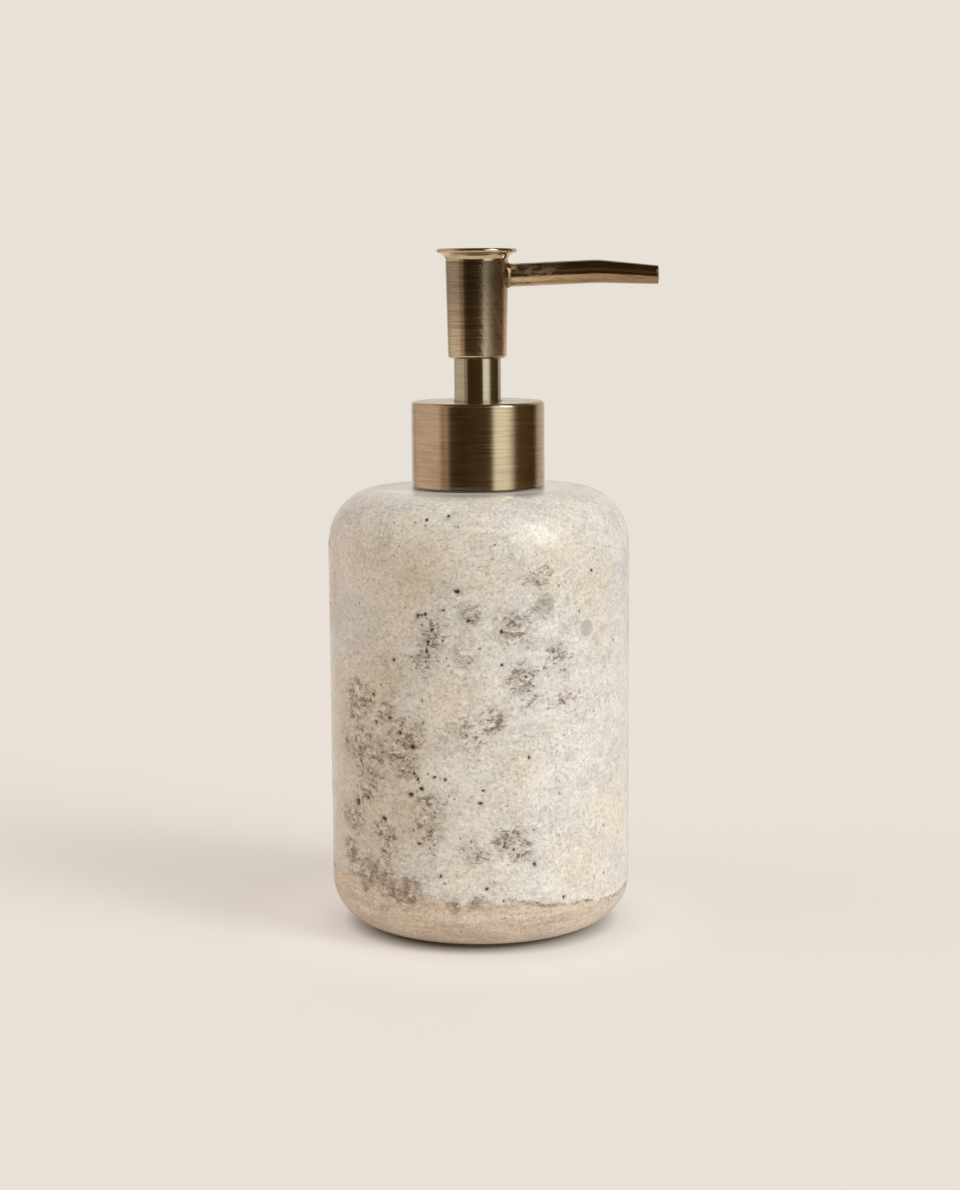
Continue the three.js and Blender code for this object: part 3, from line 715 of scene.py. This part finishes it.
def stone_features():
    """Pits and clusters all round: the listed ones on the front, and seeded ones on the sides and back."""
    random = np.random.default_rng(28)
    pits, clusters = list(PITS), list(CLUSTERS)
    for _ in range(BACK_CLUSTERS):
        angle, height = random.uniform(BACK_FROM, BACK_TO), random.uniform(14, 104)
        size = random.uniform(2.5, 6.5)
        clusters.append((angle, height, size))
        if random.random() < 0.75:
            pit_height = np.clip(height + random.normal(0, size), 14, 105)
            pit_angle = np.clip(angle + random.normal(0, size), BACK_FROM, BACK_TO)
            pits.append((pit_angle, pit_height, random.uniform(0.4, 0.85)))
    return pits, clusters


def warped(places):
    """Pushes the places about by two noises, so that round zones get ragged outlines."""
    pushed = places.copy()
    for scale, reach in ((130.0, 2.2 * MM), (380.0, 1.2 * MM)):
        for axis, apart in enumerate((9.3, 0.0, -6.1)):
            shift = Vector((apart, apart, apart))
            shares = [mesh_noise.noise(Vector(p) * scale + shift) for p in places]
            pushed[:, axis] += reach * np.array(shares)
    return pushed


def crowding(places, spots):
    """A soft bump about each spot, as high as 1; the nearest spot counts."""
    total = np.zeros(len(places))
    for angle, height, size in spots:
        away = np.linalg.norm(places - surface_point(angle, height), axis=1) / (size * MM)
        total = np.maximum(total, np.exp(-(away**2)))
    return total


def pit_fields(places, pits):
    """How far each place is pressed in, and how far and which way the nearest pit is, in its own radii."""
    random = np.random.default_rng(5)
    depth, nearest = np.zeros(len(places)), np.full(len(places), FAR_AWAY)
    way = np.full((len(places), 3), FAR_AWAY)
    for angle, height, size in pits:
        radius = size * MM
        stretch = np.array([1, 1, random.uniform(0.7, 1.35)])
        offset = (places - surface_point(angle, height)) / radius * stretch
        away = np.linalg.norm(offset, axis=1)
        depth = np.maximum(depth, 0.75 * radius * np.exp(-(away**3)))
        closer = away < nearest
        nearest[closer], way[closer] = away[closer], offset[closer]
    return depth, nearest, way


def band_height(turn):
    """The foot band's wavy upper edge in mm, from the angle round the vessel in radians."""
    height = 13.3 - 3.0 * np.sin(turn) + 0.7 * np.sin(5 * turn) + 0.4 * np.sin(11 * turn)
    return height + 1.7 * np.exp(-(((turn + 0.6) / 0.4) ** 2))


def vertex_values(mesh, name):
    values = np.empty(len(mesh.vertices) * 3)
    mesh.vertices.foreach_get(name, values)
    return values.reshape(-1, 3)


def add_guide(mesh, name, values, kind="FLOAT", field="value"):
    attribute = mesh.attributes.new(name, kind, "POINT")
    attribute.data.foreach_set(field, values.astype(np.float32).ravel())


def stone_vessel():
    """The stone wall, with its pits pressed in, and the guides that the travertine's look follows."""
    piece = spin("travertine_vessel", stone_outline(), 400, 50)
    mesh = piece.data
    places, normals = vertex_values(mesh, "co"), vertex_values(mesh, "normal")
    pits, clusters = stone_features()
    depth, nearest, way = pit_fields(places, pits)
    ragged = warped(places)
    from_axis = np.hypot(places[:, 0], places[:, 1])
    outside = from_axis > 25.4 * MM
    on_top = places[:, 2] > STONE_HIGH.z - 1 * MM
    # painted light: how much the top round the collar is painted paler, against the pump's shade
    ring = np.clip((COLLAR_HIGH.x + 9 * MM - from_axis) / (6 * MM), 0, 1)
    boundary = band_height(np.arctan2(places[:, 0], -places[:, 1])) * MM
    guides = {
        "pit_near": (nearest < PIT_REACH) * outside,
        "porous": crowding(ragged, clusters) * outside,
        "oval": crowding(places, OVALS),
        "tan": crowding(ragged, TAN_ZONES),
        "warm": crowding(ragged, WARM_ZONES),
        "rust": crowding(ragged, RUST_ZONES),
        "ring": ring * on_top,
        "band": np.clip(0.5 + (boundary - places[:, 2]) / (5 * MM), 0, 1),
    }
    for name, values in guides.items():
        add_guide(mesh, name, values)
    add_guide(mesh, "pit_way", way, "FLOAT_VECTOR", "vector")
    pressed = places - normals * (depth * outside)[:, None]
    mesh.vertices.foreach_set("co", pressed.ravel())
    mesh.update()
    return piece


# ---- pump pieces
def collar_cover():
    """The metal shell: rolled lower lip, softly rounded top edge and a hole for the sleeve."""
    outer, wall = COLLAR_HIGH.x, 0.6 * MM
    low, high = COLLAR_LOW.z, COLLAR_HIGH.z
    edge, lip, hole, corner = 0.95 * MM, 0.14 * MM, 6.2 * MM, 0.4 * MM
    outline = [(outer - wall, low + lip)]
    outline += arc(outer - lip, low + lip, lip, -135, 0, 8)
    outline += run((outer, low + lip), (outer, high - edge), 8)
    outline += arc(outer - edge, high - edge, edge, 0, 90, 12)
    outline += [(hole, high), (hole, high - wall)]
    outline += [(outer - wall - corner, high - wall), (outer - wall, high - wall - corner)]
    return spin("collar_cover", outline, 192)


def barrel_with_spout_hole():
    """The head's barrel, a touch wider at the top, turned in below, with a hole for the spout."""
    low, high = HEAD_LOW.z, HEAD_HIGH.z
    bottom, top = BARREL_FOOT_RADIUS, HEAD_HIGH.y
    inner, lip, edge = 6.45 * MM, 5.97 * MM, 0.85 * MM
    lip_round, step = 0.15 * MM, low + 1.0 * MM
    outline = arc(lip + lip_round, low + lip_round, lip_round, 180, 270, 3)
    outline += arc(bottom - edge, low + edge, edge, -90, 0, 10)
    outline += run((bottom, low + edge), (top, high), 10)
    outline += [(top, high), (inner, high), (inner, step), (lip, step)]
    piece = spin("head_barrel", outline, 160)
    reaches = np.linspace(3.0 * MM, 12.0 * MM, 5)
    radii = [spout_radius(r) + 0.03 * MM for r in reaches]
    cutter = tube("cutter", [spout_centre(r) for r in reaches], radii, 64)
    return combine(piece, cutter, "DIFFERENCE")


def finger_pad():
    """The polished cap that the finger presses: a flare to a rounded rim, and a faintly dished top."""
    low, high = CAP_LOW.z, CAP_HIGH.z
    rim, spigot, flare_low = 0.55 * MM, HEAD_HIGH.y - 1.4 * MM, CAP_LOW.z + 0.15 * MM
    cove_centre = CAP_HIGH.y - rim
    cove_width = cove_centre - HEAD_HIGH.y
    cove_height = high - 2 * rim - flare_low - 0.1 * MM
    outline = [(0.0, low), (spigot, low), (spigot, flare_low)]
    outline += arc(cove_centre, flare_low, cove_width, 180, 108, 14, cove_height)
    outline += arc(cove_centre, high - rim, rim, -58, 90, 14)
    outline += [(cove_centre - 0.6 * MM, high - 0.03 * MM), (cove_centre * 0.5, high - 0.2 * MM)]
    outline += [(0.0, high - 0.28 * MM)]
    return spin("finger_pad", outline, 160, 50)


def beyond_kink(reach):
    return min(max((reach - SPOUT_KINK) / (SPOUT_HIGH.x - SPOUT_KINK), 0), 1)


def spout_centre(reach):
    """A point on the spout's axis: a gentle rise to the kink, eased there, and a steeper fall to the tip."""
    easing = 0.05 * math.exp(-(((reach - SPOUT_KINK) / (1.2 * MM)) ** 2))
    rise = SPOUT_RISE * (min(reach / SPOUT_KINK, 1) - easing)
    return Vector((reach, 0, SPOUT_AXIS + rise - SPOUT_DROP * beyond_kink(reach)))


def spout_radius(reach):
    return SPOUT_RADIUS + (SPOUT_TIP_RADIUS - SPOUT_RADIUS) * beyond_kink(reach)


def spout_pipe(name, start, end, outer_swelling, wall, edge, sides=48, steps=60, bead=0.0):
    """An open pipe along the spout: outside, a rounded mouth rim, the inside, and a rim at the root.

    bead is the height of the solder that runs round the pipe where it leaves the barrel."""
    def outer(reach):
        return spout_radius(reach) + outer_swelling

    reaches = list(np.linspace(start, SPOUT_ROOT + 1 * MM, 20))
    reaches += list(np.linspace(SPOUT_ROOT + 1.2 * MM, end - edge, steps))
    path = [(r, outer(r) + bead * math.exp(-(((r - SPOUT_ROOT) / BEAD_WIDTH) ** 2))) for r in reaches]
    rim_angles = np.radians([30, 60, 90])
    path += [(end - edge + edge * math.sin(a), outer(end) - edge + edge * math.cos(a)) for a in rim_angles]
    path += [(r, outer(r) - wall) for r in [end] + reaches[::-1]]
    verts = []
    for reach, radius in path:
        verts.extend(spout_centre(reach) + Vector((0, x * radius, y * radius)) for x, y in circle(sides))
    return mesh_object(name, verts, ring_faces(len(path), sides, closed=True), 50)


def on_circle(radius, turns, height):
    angle = 2 * math.pi * turns
    return Vector((radius * math.cos(angle), radius * math.sin(angle), height))


def spring():
    """The return spring: open coils with a closed turn at each end."""
    wire, mean, coils, closed = 0.45 * MM, 4.0 * MM, 8.0, 0.8
    low, high = SPRING_LOW.z + wire, SPRING_HIGH.z - wire
    overlap = wire * 0.9
    steps = round(coils * 36)
    centres = []
    for i in range(steps + 1):
        turn = coils * i / steps
        climb = min(max((turn - closed) / (coils - 2 * closed), 0), 1)
        end_lift = overlap * (min(turn, closed) / closed + max(turn - coils + closed, 0) / closed) * 0.5
        centres.append(on_circle(mean, turn, low + end_lift + (high - low - overlap) * climb))
    return tube("coil_spring", centres, [wire] * len(centres), 12)


def threaded(name, outline, thread_radius, thread_bottom, section):
    """A turned piece with a helical ridge joined to its wall, tapered at both ends."""
    wall = spin(name, outline, 96)
    last = round(THREAD_TURNS * 48)
    turns = [i / 48 for i in range(last + 1)]
    centres = [on_circle(thread_radius, turn, thread_bottom + THREAD_PITCH * turn) for turn in turns]
    radii = [section * min(1.0, 0.35 + 6.0 * min(i, last - i) / last) for i in range(last + 1)]
    return combine(wall, tube(name + "_ridge", centres, radii, 16), "UNION")


def neck_bushing():
    """The bushing in the stone's mouth: a flange on the stone and a threaded neck."""
    low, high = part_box("neck_insert")
    inner, outer, flange, skirt = 11.0 * MM, 12.5 * MM, high.x, 14.4 * MM
    flange_low = STONE_HIGH.z
    flange_high = flange_low + 1.2 * MM
    soft = 0.2 * MM
    outline = [(inner, low.z), (skirt, low.z), (skirt, flange_low), (flange - soft, flange_low)]
    outline += [(flange, flange_low + soft), (flange, flange_high - soft), (flange - soft, flange_high)]
    outline += [(outer + 0.4 * MM, flange_high), (outer, flange_high + 0.4 * MM)]
    outline += [(outer, high.z - soft), (outer - soft, high.z)]
    outline += [(inner + soft, high.z), (inner, high.z - soft)]
    start = high.z - THREAD_FROM_TOP - THREAD_PITCH * THREAD_TURNS
    return threaded("neck_bushing", outline, outer + 0.1 * MM, start, 0.95 * MM)


def closure():
    """The plastic closure inside the collar, with its counterbored top."""
    low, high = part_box("screw_cap")
    neck_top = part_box("neck_insert")[1].z
    outer, inner, hole, bore = high.x, 14.1 * MM, 7.55 * MM, 8.85 * MM
    plate, seat = high.z - 1.5 * MM, high.z - 0.6 * MM
    outline = [(inner, low.z), (outer, low.z), (outer, high.z), (bore, high.z), (bore, seat), (hole, seat)]
    outline += [(hole, plate), (inner, plate)]
    start = neck_top - THREAD_FROM_TOP - THREAD_PITCH * THREAD_TURNS - THREAD_PITCH / 2
    return threaded("closure", outline, inner - 0.05 * MM, start, 0.75 * MM)


def smooth_copy(name, node):
    """A welded, smoothly shaded copy of a CAD node that isn't simply turned."""
    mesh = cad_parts[node].data.copy()
    work = bmesh.new()
    work.from_mesh(mesh)
    bmesh.ops.remove_doubles(work, verts=work.verts, dist=1e-6)
    bmesh.ops.dissolve_limit(work, angle_limit=math.radians(1), verts=work.verts, edges=work.edges)
    work.to_mesh(mesh)
    work.free()
    mesh.name = name
    shade(mesh, SHARP_ANGLE)
    return linked(name, mesh)


def valve_ball(name, node):
    low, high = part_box(node)
    radius = (high.z - low.z) / 2
    outline = arc(0, low.z + radius, radius, -90, 90, 24)
    outline[0], outline[-1] = (0.0, low.z), (0.0, high.z)
    return spin(name, outline, 48)


def turned_pieces(stone, white, soft_white, milky, fine_turned):
    """The pieces that are fine copies of turned CAD nodes."""
    pad = foam_rubber("pad_rubber", (0.075, 0.065, 0.058))
    gasket = foam_rubber("gasket_rubber", (0.08, 0.08, 0.08))
    rows = (
        ("bore_plug", "base_plug", "vessel", "travertine_plug", stone, 96, EDGE),
        ("foot_pad", "base_pad", "vessel", "pad_rubber", pad, 160, 0.25 * MM),
        ("cylinder_housing", "pump_housing", "pump_engine", "white_moulding", white, 96, EDGE),
        ("guide_ring", "chaplet", "pump_engine", "white_moulding", white, 96, EDGE),
        ("neck_washer", "neck_gasket", "pump_engine", "gasket_rubber", gasket, 96, EDGE),
        ("suction_tube", "dip_tube", "pump_engine", "clear_tube", milky, 64, EDGE),
        ("lip_seal", "piston_seal", "piston", "soft_seal", soft_white, 96, EDGE),
        ("valve_seat_cup", "spring_cup", "piston", "white_moulding", white, 96, EDGE),
        ("piston_stem", "stem", "head", "white_moulding", white, 64, EDGE),
        ("sliding_sleeve", "neck_sleeve", "head", "polished_brass", fine_turned, 160, 0.15 * MM),
    )
    for name, node, body, slot, material, segments, edge in rows:
        copy = spin(name, meridian(node), segments)
        dress(soften(copy, edge), body, slot, material, node)


def sprung_coil():
    """The spring rides on the engine, with a mesh of its own."""
    coil = dress(spring(), "pump_engine", "spring_steel", spring_wire(), "return_spring")
    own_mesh(coil)


def build_pieces():
    stone = travertine()
    satin_top = COLLAR_HIGH.z - 0.9 * MM
    brushed = aged_brass("brushed_brass", turned_lines, (0.14, 0.14), 0.4, 0.5, satin_above=satin_top)
    scratched = aged_brass("scratched_brass", slanting_scratches, (0.17, 0.32), 0.25, 0.95, BARREL_PAINTED_SHADING,
                           groove=0.04 * MM)
    fine_turned = aged_brass("fine_turned_brass", turned_lines, (0.10, 0.10), 0.4, 0.3, SLEEVE_PATINA)
    polished = aged_brass("polished_brass", faint_smears, (0.10, 0.10), 0.0, 0.3)
    white = moulded_plastic("white_moulding", (0.80, 0.79, 0.76), 0.42, 0.15)
    soft_white = moulded_plastic("soft_seal", (0.72, 0.75, 0.74), 0.38, 0.3)
    milky = moulded_plastic("clear_tube", (0.78, 0.80, 0.79), 0.3, 0.5)
    glass = clear_glass()

    vessel = dress(stone_vessel(), "vessel", "travertine", stone, "stone_body")
    vessel.visible_glossy = False  # the metal mirrors the studio only
    dress(neck_bushing(), "vessel", "white_moulding", white, "neck_insert")
    dress(collar_cover(), "collar", "brushed_brass", brushed, "collar_shell")
    dress(closure(), "collar", "white_moulding", white, "screw_cap")
    turned_pieces(stone, white, soft_white, milky, fine_turned)
    sprung_coil()
    core = smooth_copy("head_core", "actuator_insert")
    dress(core, "head", "white_moulding", white, "actuator_insert")
    dress(barrel_with_spout_hole(), "head", "brushed_brass", scratched, "head_shell")
    dress(finger_pad(), "head", "polished_brass", polished, "head_cap")
    spout = spout_pipe("spout", SPOUT_LOW.x, SPOUT_HIGH.x, 0.0, 0.45 * MM, 0.2 * MM, bead=0.32 * MM)
    dress(spout, "head", "polished_brass", spout_brass(), "spout_tube")
    liner_low, liner_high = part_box("spout_liner")
    liner = spout_pipe("spout_lining", liner_low.x, liner_high.x, -0.65 * MM, 0.55 * MM, 0.1 * MM, 32, 24)
    dress(liner, "head", "clear_tube", milky, "spout_liner")
    dress(valve_ball("lower_ball", "inlet_ball"), "inlet_valve", "ball_glass", glass, "inlet_ball")
    dress(valve_ball("upper_ball", "outlet_ball"), "outlet_valve", "ball_glass", glass, "outlet_ball")


# ---- studio
CAMERA_PLACE = (0.0002, -0.5741, 0.1613)
CAMERA_TILT = 7.80  # degrees down
CAMERA_ROLL = -0.43


def camera():
    """The viewing angle: at the height of the spout, looking slightly down, turned a hair anticlockwise."""
    data = bpy.data.cameras.new("camera")
    data.lens = 70.0
    data.sensor_width = 36.0
    data.clip_start = 0.01
    made = linked("camera", data)
    made.location = CAMERA_PLACE
    tilt = Euler((math.radians(90 - CAMERA_TILT), 0, 0)).to_matrix()
    roll = Matrix.Rotation(math.radians(CAMERA_ROLL), 3, "Z")
    made.rotation_euler = (tilt @ roll).to_euler()
    bpy.context.scene.camera = made


def sun(name, azimuth, elevation, angle, strength, colour):
    """A broad, even light. Azimuth is degrees to the right of the camera's side."""
    data = bpy.data.lights.new(name, "SUN")
    data.energy = strength
    data.angle = math.radians(angle)
    data.color = colour
    made = linked(name, data)
    turn, climb = math.radians(azimuth), math.radians(elevation)
    flat = math.cos(climb)
    towards = Vector((math.sin(turn) * flat, -math.cos(turn) * flat, math.sin(climb)))
    made.rotation_euler = towards.to_track_quat("Z", "Y").to_euler()
    made.visible_glossy = False


def compass_ramp(tree, share, stops):
    """A ramp round the room, from (degrees right of the camera's side, value) stops."""
    return ramp(tree, share, [(degrees / 360 + 0.5, value) for degrees, value in stops])


def studio_world():
    """What the metal and the stone mirror: a dark studio in front, a soft box right, a warm card left."""
    world = bpy.data.worlds.new("studio")
    world.use_nodes = True
    tree = world.node_tree
    background = tree.nodes["Background"]
    direction = add(tree, "TexCoord").outputs["Generated"]
    across, ahead, climb = add(tree, "SeparateXYZ", Vector=direction).outputs
    turn = maths(tree, "ARCTAN2", across, times(tree, ahead, -1.0))
    share = plus(tree, maths(tree, "DIVIDE", turn, 2 * math.pi), 0.5)
    room = (0.80, 0.745, 0.69)
    card = (0.68, 0.565, 0.54)
    dark = (0.045, 0.028, 0.014)
    side_dark = (0.11, 0.07, 0.035)
    box = (1.08, 1.07, 1.05)
    bands = compass_ramp(tree, share, [
        (-180, room), (-158, (0.74, 0.69, 0.65)), (-150, (0.60, 0.55, 0.50)), (-143, (0.45, 0.36, 0.30)),
        (-134, (0.62, 0.52, 0.48)), (-122, card), (-72, card), (-63, (0.30, 0.22, 0.15)),
        (-59, (0.42, 0.33, 0.27)), (-54, (0.40, 0.31, 0.25)), (-50, (0.08, 0.05, 0.03)), (-30, dark),
        (-12, (0.06, 0.038, 0.018)), (20, (0.07, 0.045, 0.022)), (24, (0.2, 0.16, 0.12)), (30, box),
        (51, box), (60, (0.68, 0.65, 0.60)), (68, (0.16, 0.12, 0.08)), (73, side_dark),
        (112, (0.07, 0.04, 0.02)), (119, (0.22, 0.16, 0.12)), (126, (0.52, 0.47, 0.43)),
        (150, (0.64, 0.60, 0.56)), (180, room),
    ])
    # the bands are darker in a strip above the horizon, and end under a dark roof
    strip = ramp(tree, climb, [(0.16, 0.0), (0.26, 1.0), (0.46, 1.0), (0.58, 0.0)])
    sky = mix(tree, strip, bands, mix(tree, 1.0, bands, (0.15, 0.115, 0.07), "LIGHTEN"))
    tall = compass_ramp(tree, share, [
        (-180, 1.0), (-53, 1.0), (-46, 0.0), (22, 0.0), (30, 1.0), (58, 1.0), (68, 0.0), (128, 0.0),
        (148, 1.0),
    ])
    low_roof = fade(tree, climb, 0.50, 0.60)
    high_roof = fade(tree, climb, 0.68, 0.84)
    sky = mix(tree, mix(tree, tall, low_roof, high_roof), sky, (0.055, 0.042, 0.028))
    lamp_across = compass_ramp(tree, share, [(46, 0.0), (49, 1.0), (63, 1.0), (66, 0.0)])
    lamp_up = ramp(tree, climb, [(0.26, 0.0), (0.34, 1.0), (0.80, 1.0), (0.87, 0.0)])
    sky = mix(tree, times(tree, lamp_across, lamp_up), sky, (4.3, 4.8, 5.4))
    tree.links.new(sky, background.inputs["Color"])
    bpy.context.scene.world = world


def backdrop():
    """A pale sweep that only the camera sees, and a table that lights the object and is mirrored by it."""
    material, tree, shader, place = new_material("sweep", Roughness=0.9)
    shader.inputs["Base Color"].default_value = (*FLOOR, 1)
    shader.inputs["Specular IOR Level"].default_value = 0.0
    flat_distance = add(tree, "VectorMath", {"operation": "LENGTH"}, _0=place).outputs["Value"]
    # painted shadow: the glow fades out close round the foot, a contact shadow painted by distance from the
    # axis
    fill = ramp(tree, flat_distance, [(0.0295, 0.0), (0.034, 0.45), (0.045, 0.52), (0.065, 0.45)])
    glow = add(tree, "Emission", Color=(*BACKDROP, 1), Strength=fill)
    floor_look = add(tree, "AddShader", _0=shader.outputs[0], _1=glow.outputs[0])
    far_look = add(tree, "Emission", Color=(*BACKDROP, 1), Strength=1.0)
    far = fade(tree, flat_distance, 0.45, 0.9)
    both = add(tree, "MixShader", _0=far, _1=floor_look.outputs[0], _2=far_look.outputs[0])
    output = tree.nodes["Material Output"]
    tree.links.new(both.outputs[0], output.inputs["Surface"])
    bowl_outline = [(0.0, 0.0), (0.2, 0.0), (0.5, 0.0), (1.0, 0.0)]
    bowl_outline += arc(1.2, 0.6, 0.6, -90, 0, 16) + [(1.8, 2.4), (0.0, 3.2)]
    bowl = spin("sweep", [(radius, height - 0.0002) for radius, height in bowl_outline], 64)
    bowl.data.materials.append(material)
    for ray in ("diffuse", "glossy", "transmission", "volume_scatter", "shadow"):
        setattr(bowl, "visible_" + ray, False)
    table_material, _, table_shader, _ = new_material("table", Roughness=0.8)
    table_shader.inputs["Base Color"].default_value = (*BACKDROP, 1)
    table = spin("table", [(0.0, -0.001), (0.42, -0.001), (0.42, -0.0006), (0.0, -0.0006)], 64)
    table.data.materials.append(table_material)
    table.visible_camera = False


def studio():
    camera()
    studio_world()
    backdrop()
    sun("key", 60, 22, 40, 1.58, (0.93, 0.965, 1.04))
    sun("top", 0, 78, 100, 1.1, (1.0, 0.98, 0.95))
    sun("fill", -25, 30, 90, 0.33, (1.0, 0.97, 0.91))
    sun("side", -78, 18, 60, 0.42, (1.0, 0.97, 0.93))
    bpy.context.scene.view_settings.view_transform = "Standard"


studio()
build_pieces()
bpy.context.view_layer.update()
